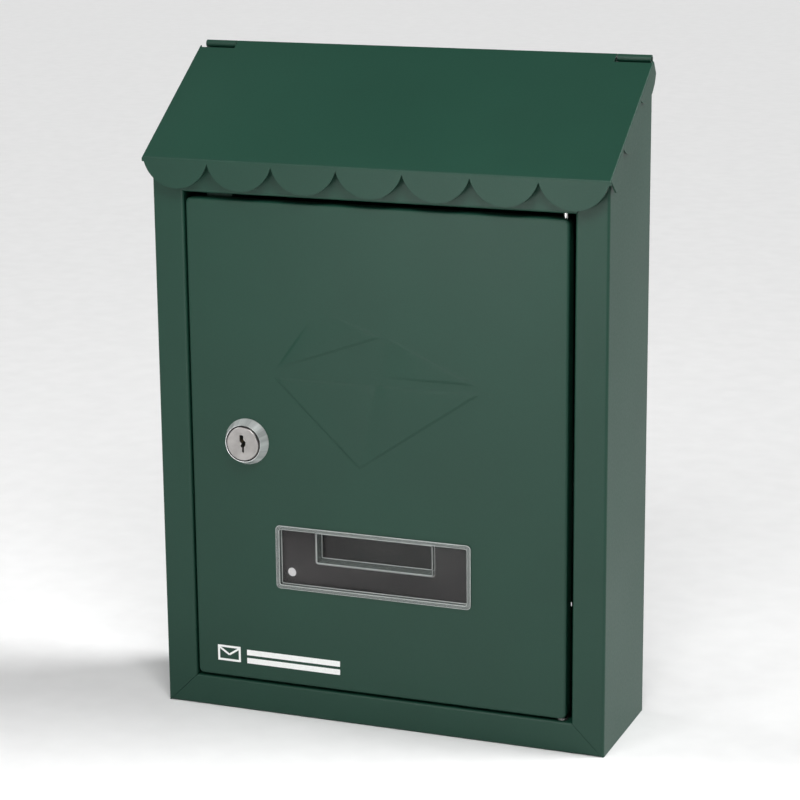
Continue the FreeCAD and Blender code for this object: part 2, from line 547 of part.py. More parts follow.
def make_door_panel():
    """Door pressed as a pan: flat front with an envelope relief, and flanges turned in all round."""
    body = new_body("door_panel")
    edges = ("Dims.door_left", "Dims.door_bottom", "Dims.door_right", "Dims.door_top")
    blank = outline(body, "blank", "front", FRONT, rectangle(*edges, "Dims.door_corner"))
    pad(body, "pan", blank, "Dims.door_depth")
    front = size(FRONT)
    fillet(body, "front_bend", lambda edge, ends: all(abs(end.y - front) < 0.01 for end in ends),
           "Dims.outer_bend")
    inside = [f"{edge} {sign} Dims.sheet" for edge, sign in zip(edges, "++--")]
    hollow = outline(body, "hollow", "front", f"{FRONT} + Dims.sheet",
                     rectangle(*inside, "(Dims.door_corner - Dims.sheet)"))
    pocket(body, "hollow_cut", hollow, "Dims.door_depth")

    inset = "Dims.relief_inset"
    outer = outline(body, "relief_foot", "front", FRONT, lozenge("0"))
    crest = outline(body, "relief_crest", "front", f"{FRONT} - Dims.relief_rise", lozenge(inset))
    loft(body, "AdditiveLoft", "relief", outer, crest)
    under = outline(body, "relief_under", "front", f"{FRONT} + Dims.sheet", lozenge("0"))
    under_crest = outline(body, "relief_under_crest", "front",
                          f"{FRONT} + Dims.sheet - Dims.relief_rise", lozenge(inset))
    loft(body, "SubtractiveLoft", "relief_back", under, under_crest)

    margin = "(Dims.window_rim - Dims.window_wall - Dims.window_gap)"
    window = rectangle(f"Dims.window_x - Dims.window_width / 2 + {margin}",
                       f"Dims.window_z - Dims.window_height / 2 + {margin}",
                       f"Dims.window_x + Dims.window_width / 2 - {margin}",
                       f"Dims.window_z + Dims.window_height / 2 - {margin}")
    pocket(body, "window_cut", outline(body, "window", "front", f"{FRONT} - 1", window), "2")
    radius, flat = "(Dims.barrel_radius + 0.1)", "(Dims.barrel_flat + 0.1)"
    chord = f"sqrt({radius}^2 - {flat}^2)"
    hole = [(f"Dims.lock_x + {flat}", f"Dims.lock_z - {chord}"),
            (f"Dims.lock_x + {flat}", f"Dims.lock_z + {chord}"),
            (f"Dims.lock_x - {flat}", f"Dims.lock_z + {chord}", radius, 1),
            (f"Dims.lock_x - {flat}", f"Dims.lock_z - {chord}"),
            (f"Dims.lock_x + {flat}", f"Dims.lock_z - {chord}", radius, 1)][1:]
    pocket(body, "lock_cut", outline(body, "lock_hole", "front", f"{FRONT} - 1", hole), "2")
    rod = circles(body, "rod_holes", "top", "Dims.door_bottom - 1",
                  [("Dims.pivot_x", "Dims.pivot_y")], "Dims.rod_radius + Dims.wire_gap")
    pocket(body, "rod_cut", rod, "Dims.door_top - Dims.door_bottom + 2")


def make_name_window():
    """Clear moulded name holder: rim on the door, recessed pane, finger well and snap ridges."""
    body = new_body("name_window")

    def frame(inset, corner):
        """Rounded rectangle drawn in by inset from the rim's outline."""
        return rectangle(f"Dims.window_x - Dims.window_width / 2 + {inset}",
                         f"Dims.window_z - Dims.window_height / 2 + {inset}",
                         f"Dims.window_x + Dims.window_width / 2 - {inset}",
                         f"Dims.window_z + Dims.window_height / 2 - {inset}", corner)

    rim_front = f"{FRONT} - Dims.window_proud"
    wall = "(Dims.window_rim - Dims.window_wall)"
    pad(body, "rim", outline(body, "rim_outline", "front", rim_front, frame("0", "Dims.rim_corner")),
        "Dims.window_proud")
    floor_back = "(Dims.window_recess + Dims.pane - Dims.window_proud)"
    tray = outline(body, "tray_outline", "front", FRONT, frame(wall, "Dims.tray_corner"))
    pad(body, "tray", tray, floor_back)
    ridge = rectangle("Dims.window_x - Dims.clip_width / 2",
                      f"Dims.window_z - Dims.window_height / 2 + {wall} - Dims.clip_rise",
                      "Dims.window_x + Dims.clip_width / 2",
                      f"Dims.window_z + Dims.window_height / 2 - {wall} + Dims.clip_rise")
    ridge_front = f"{FRONT} + Dims.sheet + Dims.seam"
    pad(body, "ridges", outline(body, "ridge_outline", "front", ridge_front, ridge),
        "Dims.clip_thick")
    inside = outline(body, "recess_outline", "front", f"{rim_front} - 1",
                     frame("Dims.window_rim", "Dims.recess_corner"))
    pocket(body, "recess", inside, "Dims.window_recess + 1")
    finger = ("Dims.finger_left", "Dims.finger_bottom", "Dims.finger_right", "Dims.finger_top")
    outside = [f"{edge} {sign} Dims.window_wall" for edge, sign in zip(finger, "--++")]
    well = outline(body, "well_outline", "front", f"{FRONT} + {floor_back} - 0.2", rectangle(*outside))
    pad(body, "well", well, "Dims.finger_depth")
    hollow = outline(body, "well_hollow", "front", f"{rim_front} + Dims.window_recess - 0.1",
                     rectangle(*finger))
    pocket(body, "well_cut", hollow, "Dims.finger_depth + 0.1")


# ---------------------------------------------------------------- lock

BARREL_END = "-Dims.barrel_length"
CAM_BACK = f"({BARREL_END} - Dims.washer_plate - Dims.cam_plate)"


def make_lock_housing():
    """Zinc barrel with a conical bezel, flats against turning and a groove for the clip."""
    body = new_lock_body("lock_housing")
    bore, mouth = "(Dims.plug_radius + Dims.plug_gap)", "(Dims.head_radius + Dims.head_gap)"
    seat = "(Dims.bezel_height - Dims.head_depth)"
    neck = "(Dims.barrel_radius - Dims.groove_depth)"
    groove_top = "-(Dims.sheet + Dims.slack)"
    groove_low = "-(Dims.sheet + 3 * Dims.slack + Dims.clip_plate)"
    section = [("Dims.bezel_radius", "0"), ("Dims.bezel_radius", "Dims.bezel_land"),
               ("Dims.bezel_face", "Dims.bezel_height"), (mouth, "Dims.bezel_height"), (mouth, seat),
               (bore, seat), (bore, BARREL_END), ("Dims.barrel_radius", BARREL_END),
               ("Dims.barrel_radius", groove_low), (neck, groove_low), (neck, groove_top),
               ("Dims.barrel_radius", groove_top), ("Dims.barrel_radius", "0")]
    revolve(body, "turned", section)
    past = "Dims.barrel_radius + Dims.past"
    for side, low, high in (("right", "Dims.barrel_flat", past),
                            ("left", f"-({past})", "-Dims.barrel_flat")):
        flat = rectangle(low, "-Dims.barrel_radius", high, "Dims.barrel_radius")
        sketch = outline(body, f"flat_{side}", "top", f"{BARREL_END} - Dims.past", flat)
        pocket(body, f"flat_cut_{side}", sketch, "Dims.barrel_length + Dims.past")
    keeper = rectangle("-Dims.keeper_half", "-Dims.keeper_top", "Dims.keeper_half", "Dims.keeper_top")
    slot = outline(body, "keeper_slot", "top", "Dims.wafer_first - Dims.keeper_length", keeper)
    pocket(body, "keeper_cut", slot, "Dims.keeper_length + Dims.past")
    lug = outline(body, "stop_lug", "top", f"{BARREL_END} - Dims.washer_plate + Dims.slack",
                  rectangle("-Dims.lug_half", "Dims.lug_in", "Dims.lug_half", "Dims.lug_out"))
    pad(body, "lug", lug, "Dims.washer_plate")


def make_lock_clip():
    """Horseshoe clip pushed into the barrel's groove from below, behind the door's sheet."""
    body = new_lock_body("lock_clip")
    neck = "(Dims.barrel_radius - Dims.groove_depth + Dims.slack)"
    outer = "Dims.clip_radius"
    path = [(neck, f"-{outer}"), (outer, f"-{outer}"), (outer, "0"), ("0", outer, outer, 1),
            (f"-{outer}", "0", outer, 1), (f"-{outer}", f"-{outer}"), (f"-{neck}", f"-{outer}"),
            (f"-{neck}", "0"), ("0", neck, neck, -1), (neck, "0", neck, -1)]
    plate = outline(body, "plate", "top", "-(Dims.sheet + 2 * Dims.slack + Dims.clip_plate)", path)
    pad(body, "clip", plate, "Dims.clip_plate")


def make_lock_plug():
    """Turning plug: flat head with the keyway, wafer slots and a square end for the cam."""
    body = new_lock_body("lock_plug")
    face = "(Dims.bezel_height + Dims.face_proud)"
    seat = "(Dims.bezel_height - Dims.head_depth + Dims.slack)"
    tail = f"({BARREL_END} - Dims.square_length)"
    section = [("0", face), ("0", BARREL_END), ("Dims.plug_radius", BARREL_END),
               ("Dims.plug_radius", seat), ("Dims.head_radius", seat),
               ("Dims.head_radius", f"{face} - Dims.head_chamfer"),
               ("Dims.head_radius - Dims.head_chamfer", face)]
    revolve(body, "turned", section)
    square = rectangle("-Dims.square", "-Dims.square", "Dims.square", "Dims.square")
    pad(body, "square_end", outline(body, "square_outline", "top", tail, square),
        "Dims.square_length")
    screw = circles(body, "screw_hole", "top", f"{tail} - Dims.past", [("0", "0")],
                    "Dims.thread_radius + Dims.screw_gap")
    pocket(body, "screw_bore", screw, "Dims.bore_depth + Dims.past")
    keyway = outline(body, "keyway_outline", "top", f"{face} - Dims.keyway_depth", KEYWAY)
    pocket(body, "keyway", keyway, "Dims.keyway_depth + Dims.past")
    half, tall = "(Dims.wafer_half + Dims.wafer_gap)", "(Dims.plug_radius + Dims.past)"
    reach = "(Dims.spring_length / 2 + 0.2)"
    for index in range(len(WAFER_CUTS)):
        middle = f"Dims.wafer_first - {index} * Dims.wafer_pitch"
        slot = outline(body, f"slot_{index + 1}", "top",
                       f"{middle} - Dims.wafer_plate / 2 - Dims.wafer_gap",
                       rectangle(f"-{half}", f"-{tall}", half, tall))
        pocket(body, f"slot_cut_{index + 1}", slot, "Dims.wafer_plate + 2 * Dims.wafer_gap")
        well = rectangle("Dims.spring_x - Dims.spring_well", f"-{reach}",
                         "Dims.spring_x + Dims.spring_well", reach)
        spot = outline(body, f"spring_well_{index + 1}", "top", f"{middle} - Dims.spring_well", well)
        pocket(body, f"spring_cut_{index + 1}", spot, "2 * Dims.spring_well")


def make_wafer(index, cut):
    """Brass wafer in the plug, held level with the plug's surface as a key would hold it."""
    body = new_lock_body(f"lock_wafer_{index + 1}")
    low = f"Dims.wafer_first - {index} * Dims.wafer_pitch - Dims.wafer_plate / 2"
    path = rectangle("-Dims.wafer_half", "-Dims.wafer_reach", "Dims.wafer_half", "Dims.wafer_reach")
    pad(body, "plate", outline(body, "edge", "top", low, path), "Dims.wafer_plate")
    window = rectangle("-Dims.wafer_window", f"{cut} - Dims.wafer_window_reach",
                       "Dims.wafer_window", f"{cut} + Dims.wafer_window_reach")
    pocket(body, "window_cut", outline(body, "window", "top", f"{low} - Dims.past", window),
           "Dims.wafer_plate + 2 * Dims.past")


def make_wafer_spring(index):
    """Coil spring beside one wafer, along the wafer's travel."""
    helix = doc.addObject("Part::Helix", f"spring_line_{index + 1}")
    helix.setExpression("Radius", "Dims.spring_radius")
    helix.setExpression("Height", "Dims.spring_length - 4 * Dims.spring_wire")
    helix.setExpression("Pitch", "(Dims.spring_length - 4 * Dims.spring_wire) / Dims.spring_turns")
    section = doc.addObject("Part::Circle", f"spring_section_{index + 1}")
    section.setExpression("Radius", "Dims.spring_wire")
    section.Placement = FreeCAD.Placement(
        FreeCAD.Vector(0, 0, 0), FreeCAD.Rotation(FreeCAD.Vector(1, 0, 0), 90))
    section.setExpression("Placement.Base.x", "Dims.spring_radius")
    coil = doc.addObject("Part::Sweep", f"lock_spring_{index + 1}")
    coil.Label = f"lock_spring_{index + 1}"
    coil.Sections = [section]
    coil.Spine = (helix, ["Edge1"])
    coil.Solid = True
    coil.Frenet = True
    coil.setExpression("Placement.Base.x", "Dims.lock_x + Dims.spring_x")
    coil.setExpression("Placement.Base.y",
                       f"-Dims.case_depth - (Dims.wafer_first - {index} * Dims.wafer_pitch)")
    coil.setExpression("Placement.Base.z", "Dims.lock_z - Dims.hole_centre"
                       " - (Dims.spring_length - 4 * Dims.spring_wire) / 2")
    parts.append(coil)


def square_hole(body, name, level, length):
    """Square hole that fits the plug's end."""
    half = "(Dims.square + Dims.square_gap)"
    hole = outline(body, f"{name}_outline", "top", level, rectangle(f"-{half}", f"-{half}", half, half))
    pocket(body, name, hole, length)


def make_stop_washer():
    """Washer on the square that lets the plug turn a quarter before its gap ends at the lug."""
    body = new_lock_body("lock_stop_washer")
    low, high = "Dims.washer_root", "Dims.washer_radius"

    def at(radius, angle):
        return f"{radius} * cos({angle})", f"{radius} * sin({angle})"

    first, last = "Dims.washer_start", "Dims.washer_end"
    path = [at(high, last), at(high, "270") + (high, 1), at(high, "360") + (high, 1),
            at(high, first) + (high, 1), at(low, first), at(low, last) + (low, 1)]
    disc = outline(body, "disc", "top", f"{BARREL_END} - Dims.washer_plate", path)
    pad(body, "washer", disc, "Dims.washer_plate - Dims.slack")
    square_hole(body, "hole", f"{BARREL_END} - Dims.washer_plate - 1", "3")


def make_lock_cam():
    """Cranked cam: hub on the plug's square, tongue brought forward to sit behind the stile."""
    body = new_lock_body("lock_cam")
    hub_front = f"({BARREL_END} - Dims.washer_plate)"
    tip_front, tip_back = f"({hub_front} + Dims.cam_crank)", f"({CAM_BACK} + Dims.cam_crank)"
    bend_end = "(Dims.crank_start + Dims.crank_run)"
    section = [("-Dims.cam_length", tip_front), ("-Dims.cam_length", tip_back),
               (f"-{bend_end}", tip_back), ("-Dims.crank_start", CAM_BACK),
               ("Dims.cam_half", CAM_BACK), ("Dims.cam_half", hub_front),
               ("-Dims.crank_start - Dims.crank_lead", hub_front),
               (f"-{bend_end} - Dims.crank_lead", tip_front)]
    profile = outline(body, "profile", "side", "-Dims.cam_half", section)
    pad(body, "strip", profile, "2 * Dims.cam_half")
    corners = [("-Dims.cam_half", "-Dims.cam_length"), ("Dims.cam_half", "-Dims.cam_length")]
    round_bends(body, "tip", 2, corners, "Dims.cam_corner")
    hub = [("-Dims.cam_half", "Dims.cam_half"), ("Dims.cam_half", "Dims.cam_half")]
    round_bends(body, "hub", 2, hub, "Dims.cam_corner")
    square_hole(body, "hole", f"{CAM_BACK} - 1", "Dims.cam_plate + 2")


def make_cam_washer():
    """Split spring washer under the cam screw's head."""
    body = new_lock_body("cam_washer")
    level = f"{CAM_BACK} - Dims.spring_washer"
    ring = circles(body, "ring", "top", level, [("0", "0")], "Dims.screw_head")
    pad(body, "washer", ring, "Dims.spring_washer - 0.02")
    hole = circles(body, "hole", "top", f"{level} - 1", [("0", "0")],
                   "Dims.thread_radius + 2 * Dims.screw_gap")
    pocket(body, "hole_cut", hole, "3")
    split = outline(body, "split", "top", f"{level} - 1",
                    rectangle("0", "-Dims.split_half", "Dims.screw_head + 1", "Dims.split_half"))
    pocket(body, "split_cut", split, "3")


def make_cam_screw():
    """Pan head screw with a cross recess that holds the cam on the plug."""
    body = new_lock_body("cam_screw")
    seat = f"({CAM_BACK} - Dims.spring_washer - 0.02)"
    end = f"({seat} - Dims.screw_head_height)"
    section = [("0", end), ("Dims.screw_head - Dims.screw_round", end),
               ("Dims.screw_head", f"{end} + Dims.screw_round", "Dims.screw_round", 1),
               ("Dims.screw_head", seat), ("Dims.thread_radius", seat),
               ("Dims.thread_radius", f"{seat} + Dims.thread_length"),
               ("0", f"{seat} + Dims.thread_length")]
    revolve(body, "turned", section)
    for name, x, y in (("upright", "Dims.cross_half", "Dims.cross_reach"),
                       ("level", "Dims.cross_reach", "Dims.cross_half")):
        bar = outline(body, f"cross_{name}", "top", f"{end} - Dims.past",
                      rectangle(f"-{x}", f"-{y}", x, y))
        pocket(body, f"cross_cut_{name}", bar, "Dims.cross_depth + Dims.past")


# ---------------------------------------------------------------- build, check and write

def check_document():
    """Stop if any object failed, any feature changed nothing, or any sub-part isn't one solid."""
    for item in doc.Objects:
        if "Invalid" in item.State or "Error" in item.State:
            raise RuntimeError(f"{item.Name} failed: {item.State} {item.getStatusString()}")
    for body in parts:
        shape = body.Shape
        if shape.isNull() or not shape.isValid() or len(shape.Solids) != 1:
            raise RuntimeError(f"{body.Label}: {len(shape.Solids)} solids, valid {shape.isValid()}")
        if body.TypeId != "PartDesign::Body":
            continue
        before = 0.0
        for feature in body.Group:
            if feature.TypeId.startswith("Sketcher"):
                continue
            if abs(feature.Shape.Volume - before) < 1e-3:
                raise RuntimeError(f"{feature.Name} changes nothing")
            before = feature.Shape.Volume


make_case_wrap()
make_bottom_tray()
make_head_rail()
make_lid_wire()
make_door_rod()
make_pivot_washer()
make_lid()
make_door_panel()
make_name_window()
make_lock_housing()
make_lock_clip()
make_lock_plug()
for number, key_cut in enumerate(WAFER_CUTS):
    make_wafer(number, key_cut)
    make_wafer_spring(number)
make_stop_washer()
make_lock_cam()
make_cam_washer()
make_cam_screw()
doc.recompute()
check_document()

os.makedirs("parts", exist_ok=True)
for part in parts:
    part.Shape.exportStep(f"parts/{part.Label}.step")
    box = part.Shape.BoundBox
    print(f"{part.Label:18s} volume {part.Shape.Volume:9.1f}  x {box.XMin:8.2f} {box.XMax:8.2f}"
          f"  y {box.YMin:7.2f} {box.YMax:7.2f}  z {box.ZMin:8.2f} {box.ZMax:8.2f}")
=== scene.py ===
import json
import math

import bmesh
import bpy
from mathutils import Matrix, Vector
from mathutils.geometry import delaunay_2d_cdt


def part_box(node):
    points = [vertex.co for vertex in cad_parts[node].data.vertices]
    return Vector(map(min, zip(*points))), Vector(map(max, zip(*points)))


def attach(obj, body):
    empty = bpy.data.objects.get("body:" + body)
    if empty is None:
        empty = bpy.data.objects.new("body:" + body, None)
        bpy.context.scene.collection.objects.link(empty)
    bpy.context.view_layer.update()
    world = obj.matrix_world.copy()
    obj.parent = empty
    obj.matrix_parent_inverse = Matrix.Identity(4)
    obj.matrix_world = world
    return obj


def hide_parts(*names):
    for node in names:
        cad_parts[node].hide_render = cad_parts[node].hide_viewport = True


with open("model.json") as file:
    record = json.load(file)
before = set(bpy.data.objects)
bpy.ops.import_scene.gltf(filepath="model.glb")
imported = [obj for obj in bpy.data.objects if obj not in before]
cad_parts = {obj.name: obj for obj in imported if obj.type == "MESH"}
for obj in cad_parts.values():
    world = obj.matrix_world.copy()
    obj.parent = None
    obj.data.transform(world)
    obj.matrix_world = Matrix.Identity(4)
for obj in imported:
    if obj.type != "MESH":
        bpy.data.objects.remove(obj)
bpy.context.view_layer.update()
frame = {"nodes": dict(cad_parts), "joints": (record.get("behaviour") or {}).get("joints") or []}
scene = bpy.context.scene
scene.view_settings.view_transform = "Standard"
MM = 0.001


# ---------------------------------------------------------------- places read from the frame

JOINTS = {joint["name"]: joint for joint in frame["joints"]}
lock_axis = Vector(JOINTS["lock_turn"]["pos_m"])
door_pivot = Vector(JOINTS["door_hinge"]["pos_m"])
door_low, door_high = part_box("door_panel")
window_low, window_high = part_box("name_window")
# Left, bottom, right and top edges, seen from the front.
DOOR_EDGES = (door_low.x, door_low.z, door_high.x, door_high.z)
WINDOW_EDGES = (window_low.x, window_low.z, window_high.x, window_high.z)
DOOR_FACE = lock_axis.y
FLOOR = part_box("case_wrap")[0].z


# ---------------------------------------------------------------- materials

# The colour sockets of a Mix node: its two inputs and its output.
COLOUR_A, COLOUR_B, COLOUR_OUT = 6, 7, 2

# Painted shade: inside the bezel's mouth the chrome is painted near black, where the gap lies in
# shade. Its radius, its centre from the lock's axis to the right and up, and the width over which
# the painted shade sets in.
PAINTED_SHADE_RADIUS = 8.25 * MM
PAINTED_SHADE_RIGHT = 0.15 * MM
PAINTED_SHADE_UP = 0.12 * MM
PAINTED_SHADE_BLUR = 0.06 * MM


class Nodes:
    """A short way to write one material's node tree."""

    def __init__(self, name):
        self.material = bpy.data.materials.new(name)
        self.material.use_nodes = True
        self.tree = self.material.node_tree
        self.shader = self.tree.nodes["Principled BSDF"]
        self.place = self.node("ShaderNodeTexCoord").outputs["Object"]

    def node(self, kind, **settings):
        made = self.tree.nodes.new(kind)
        for key, value in settings.items():
            setattr(made, key, value)
        return made

    def join(self, source, target):
        self.tree.links.new(source, target)

    def stretched(self, scale):
        """Coordinates for a noise that is drawn out along the axes of small scale."""
        mapping = self.node("ShaderNodeMapping")
        mapping.inputs["Scale"].default_value = scale
        self.join(self.place, mapping.inputs["Vector"])
        return mapping.outputs["Vector"]

    def noise(self, scale, detail=2.0, rough=0.5, vector=None):
        made = self.node("ShaderNodeTexNoise")
        made.inputs["Scale"].default_value = scale
        made.inputs["Detail"].default_value = detail
        made.inputs["Roughness"].default_value = rough
        self.join(vector or self.place, made.inputs["Vector"])
        return made.outputs["Fac"]

    def ramp(self, source, low, high, low_at=0.3, high_at=0.7):
        """Map a value to a range: from low at low_at to high at high_at."""
        made = self.node("ShaderNodeMapRange")
        for key, value in (("From Min", low_at), ("From Max", high_at),
                           ("To Min", low), ("To Max", high)):
            made.inputs[key].default_value = value
        self.join(source, made.inputs["Value"])
        return made.outputs["Result"]

    def math(self, operation, first, second=0.0):
        made = self.node("ShaderNodeMath", operation=operation)
        for socket, value in zip(made.inputs, (first, second)):
            if isinstance(value, (int, float)):
                socket.default_value = value
            else:
                self.join(value, socket)
        return made.outputs["Value"]

    def blend(self, factor, first, second):
        """From the first colour to the second; each is a plain colour or a socket."""
        made = self.node("ShaderNodeMix", data_type="RGBA")
        self.join(factor, made.inputs["Factor"])
        for socket, colour in ((COLOUR_A, first), (COLOUR_B, second)):
            if isinstance(colour, tuple):
                made.inputs[socket].default_value = (*colour, 1)
            else:
                self.join(colour, made.inputs[socket])
        return made.outputs[COLOUR_OUT]

    def colour(self, source):
        self.join(source, self.shader.inputs["Base Color"])

    def roughness(self, source):
        self.join(source, self.shader.inputs["Roughness"])

    def bump(self, *layers, edge=None):
        """Bump from (height, depth in metres) layers, over edges rounded by edge if it is given."""
        normal = None
        if edge is not None:
            rounded = self.node("ShaderNodeBevel", samples=6)
            rounded.inputs["Radius"].default_value = edge
            normal = rounded.outputs["Normal"]
        for height, depth in layers:
            made = self.node("ShaderNodeBump")
            made.inputs["Strength"].default_value = 1.0
            made.inputs["Distance"].default_value = depth
            self.join(height, made.inputs["Height"])
            if normal is not None:
                self.join(normal, made.inputs["Normal"])
            normal = made.outputs["Normal"]
        self.join(normal, self.shader.inputs["Normal"])

    def settings(self, **values):
        for key, value in values.items():
            self.shader.inputs[key.replace("_", " ")].default_value = value


def powder_coat():
    """Dark green fine-textured powder coat: orange peel, fine grain, faint handling marks."""
    n = Nodes("powder_coat_green")
    n.settings(Metallic=0.0, Specular_IOR_Level=0.32)
    broad = n.noise(22, detail=3)
    grain = n.noise(2600, rough=0.6)
    peel = n.noise(820, rough=0.55)
    patch = n.noise(9)
    mixed = n.math("ADD", n.math("MULTIPLY", broad, 0.35), n.math("MULTIPLY", grain, 0.65))
    n.colour(n.blend(n.ramp(mixed, 0, 1), (0.0058, 0.0360, 0.0222), (0.0076, 0.0472, 0.0292)))
    halves = n.math("ADD", n.math("MULTIPLY", peel, 0.5), n.math("MULTIPLY", patch, 0.5))
    n.roughness(n.ramp(halves, 0.40, 0.50))
    n.bump((patch, 0.45 * MM), (peel, 0.022 * MM), (grain, 0.006 * MM), edge=0.22 * MM)
    return n.material


def clear_plastic():
    """Clear moulded polystyrene with flow lines and hairline scuffs; its grey base colour is
    painted reflection.
    """
    n = Nodes("clear_polystyrene")
    n.settings(Alpha=0.22, IOR=1.5, Specular_IOR_Level=0.45)
    flow = n.noise(45, vector=n.stretched((1.0, 1.0, 2.0)))
    scuff = n.noise(900, detail=3, rough=0.6, vector=n.stretched((0.25, 1.0, 1.0)))
    # Painted reflection: a grey base colour that greys the pane like reflected surroundings, varied
    # along flow lines.
    n.colour(n.blend(n.ramp(flow, 0, 1), (0.080, 0.073, 0.076), (0.128, 0.121, 0.122)))
    n.roughness(n.ramp(scuff, 0.06, 0.14, 0.45, 0.8))
    n.bump((flow, 0.06 * MM), (scuff, 0.0004 * MM))
    return n.material


def hazy_plastic(name, darker, lighter, clear):
    """The same plastic where it scatters light, satin on rim and walls; in a lighter version it is
    a painted highlight on the rounded edges.
    """
    n = Nodes(name)
    n.settings(Transmission_Weight=clear, IOR=1.5, Specular_IOR_Level=0.5)
    grain = n.noise(1800)
    n.colour(n.blend(n.ramp(grain, 0, 1), darker, lighter))
    n.roughness(n.ramp(grain, 0.16, 0.24))
    n.bump((grain, 0.0005 * MM))
    return n.material


def plated(name, colour, rough, streak=(1.0, 1.0, 1.0), depth=0.004 * MM, spread=0.08,
           edge=0.08 * MM):
    """A plated metal: brushed or polished, with fine streaks and slight staining."""
    n = Nodes(name)
    n.settings(Metallic=1.0)
    stain = n.noise(180, detail=3)
    dark = tuple(channel * 0.82 for channel in colour)
    n.colour(n.blend(n.ramp(stain, 0, 1, 0.35, 0.65), dark, colour))
    brush = n.noise(1500, detail=3, rough=0.6, vector=n.stretched(streak))
    n.roughness(n.ramp(brush, rough, rough + spread, 0.35, 0.65))
    n.bump((brush, depth), edge=edge)
    return n.material


def bezel_chrome():
    """Satin chrome over cast zinc, with painted reflections in radial patches and painted shade
    inside the bezel's mouth.
    """
    n = Nodes("satin_chrome")
    n.settings(Metallic=0.55, Specular_IOR_Level=0.6)
    split = n.node("ShaderNodeSeparateXYZ")
    n.join(n.place, split.inputs["Vector"])
    across = n.math("SUBTRACT", split.outputs["X"], lock_axis.x + PAINTED_SHADE_RIGHT)
    up = n.math("SUBTRACT", split.outputs["Z"], lock_axis.z + PAINTED_SHADE_UP)
    squares = n.math("ADD", n.math("MULTIPLY", across, across), n.math("MULTIPLY", up, up))
    turn = n.node("ShaderNodeCombineXYZ")
    n.join(n.math("ARCTAN2", across, up), turn.inputs["X"])
    patches = n.noise(2.3, detail=3, rough=0.6, vector=turn.outputs["Vector"])
    # Painted reflections: the colour runs from grey to near white in patches round the lock's axis,
    # standing in for reflected light.
    painted_reflections = n.blend(n.ramp(patches, 0, 1, 0.38, 0.62), (0.60, 0.61, 0.61), (0.98, 0.99, 0.99))
    # Painted shade: near black inside the bezel's mouth, where the gap between bezel and plug lies
    # in shade.
    outside = n.ramp(n.math("SQRT", squares), 0, 1, PAINTED_SHADE_RADIUS, PAINTED_SHADE_RADIUS + PAINTED_SHADE_BLUR)
    n.colour(n.blend(outside, (0.015, 0.015, 0.015), painted_reflections))
    n.roughness(n.ramp(patches, 0.30, 0.16))
    n.bump((n.noise(900), 0.0015 * MM), edge=0.2 * MM)
    return n.material


def print_ink():
    """White screen print, slightly uneven at its surface."""
    n = Nodes("white_print")
    n.settings(Specular_IOR_Level=0.4)
    cover = n.noise(1400)
    n.colour(n.blend(n.ramp(cover, 0, 1), (0.80, 0.81, 0.79), (0.88, 0.89, 0.88)))
    n.roughness(n.ramp(cover, 0.42, 0.58))
    n.bump((cover, 0.006 * MM))
    return n.material


def studio_paper():
    """Pale matt paper for the floor."""
    n = Nodes("studio_paper")
    n.settings(Specular_IOR_Level=0.2)
    fibre = n.noise(70, detail=3)
    n.colour(n.blend(n.ramp(fibre, 0, 1), (0.84, 0.84, 0.84), (0.87, 0.87, 0.87)))
    n.roughness(n.ramp(fibre, 0.8, 0.9))
    return n.material


GREEN = powder_coat()
CLEAR = clear_plastic()
HAZY = hazy_plastic("hazy_polystyrene", (0.27, 0.31, 0.295), (0.33, 0.37, 0.355), 0.62)
# Painted highlight: a lighter copy of the plastic, laid on the window's rounded bends.
HIGHLIGHT_PLASTIC = hazy_plastic("polystyrene_edge_painted_highlight", (0.56, 0.60, 0.58), (0.66, 0.70, 0.68), 0.40)
INK = print_ink()
CHROME = bezel_chrome()
NICKEL = plated("satin_nickel", (0.39, 0.375, 0.365), 0.32, (4.0, 1.0, 0.25),
                depth=0.005 * MM, spread=0.14, edge=0.12 * MM)
BRIGHT_STEEL = plated("bright_steel", (0.62, 0.62, 0.61), 0.22, (1.0, 1.0, 0.1))
BRASS = plated("stamped_brass", (0.70, 0.52, 0.24), 0.30)
SPRING_STEEL = plated("spring_steel", (0.48, 0.48, 0.49), 0.28)
# Painted shade: the pivot washer's zinc is darkened so that it shows no glint in the shaded gap
# under the door.
ZINC_DARKENED_AS_SHADE = plated("zinc_painted_shade", (0.20, 0.20, 0.195), 0.45)
ZINC = plated("zinc_plate", (0.66, 0.67, 0.66), 0.30, (1.0, 1.0, 0.4),
              depth=0.005 * MM, spread=0.12)

# The CAD pieces that stay as they are. Wafers and springs are named with a number at the end.
FINISHES = {
    "case_wrap": GREEN, "bottom_tray": GREEN, "head_rail": GREEN, "lid": GREEN,
    "lid_hinge_wire": BRIGHT_STEEL, "door_hinge_rod": BRIGHT_STEEL, "door_pivot_washer": ZINC_DARKENED_AS_SHADE,
    "lock_housing": CHROME, "lock_plug": NICKEL, "lock_clip": SPRING_STEEL,
    "lock_wafer": BRASS, "lock_spring": SPRING_STEEL,
    "lock_stop_washer": ZINC, "lock_cam": ZINC, "cam_washer": ZINC, "cam_screw": ZINC,
}
for node, thing in frame["nodes"].items():
    kind = node.rstrip("_0123456789")
    if kind in FINISHES:
        thing.material_slots[0].material = FINISHES[kind]


# ---------------------------------------------------------------- making meshes

# Edges that turn by more than this stay sharp in the shading.
SHARP_FROM = math.radians(50)


def new_piece(name, vertices, faces, material, body, nodes=()):
    """A mesh that rides a body and the CAD nodes that it takes the place of."""
    mesh = bpy.data.meshes.new(name)
    mesh.from_pydata(vertices, [], faces)
    mesh.update()
    piece = bpy.data.objects.new(name, mesh)
    scene.collection.objects.link(piece)
    mesh.materials.append(material)
    mesh.shade_smooth()
    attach(piece, body)
    if nodes:
        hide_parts(*nodes)
    return piece


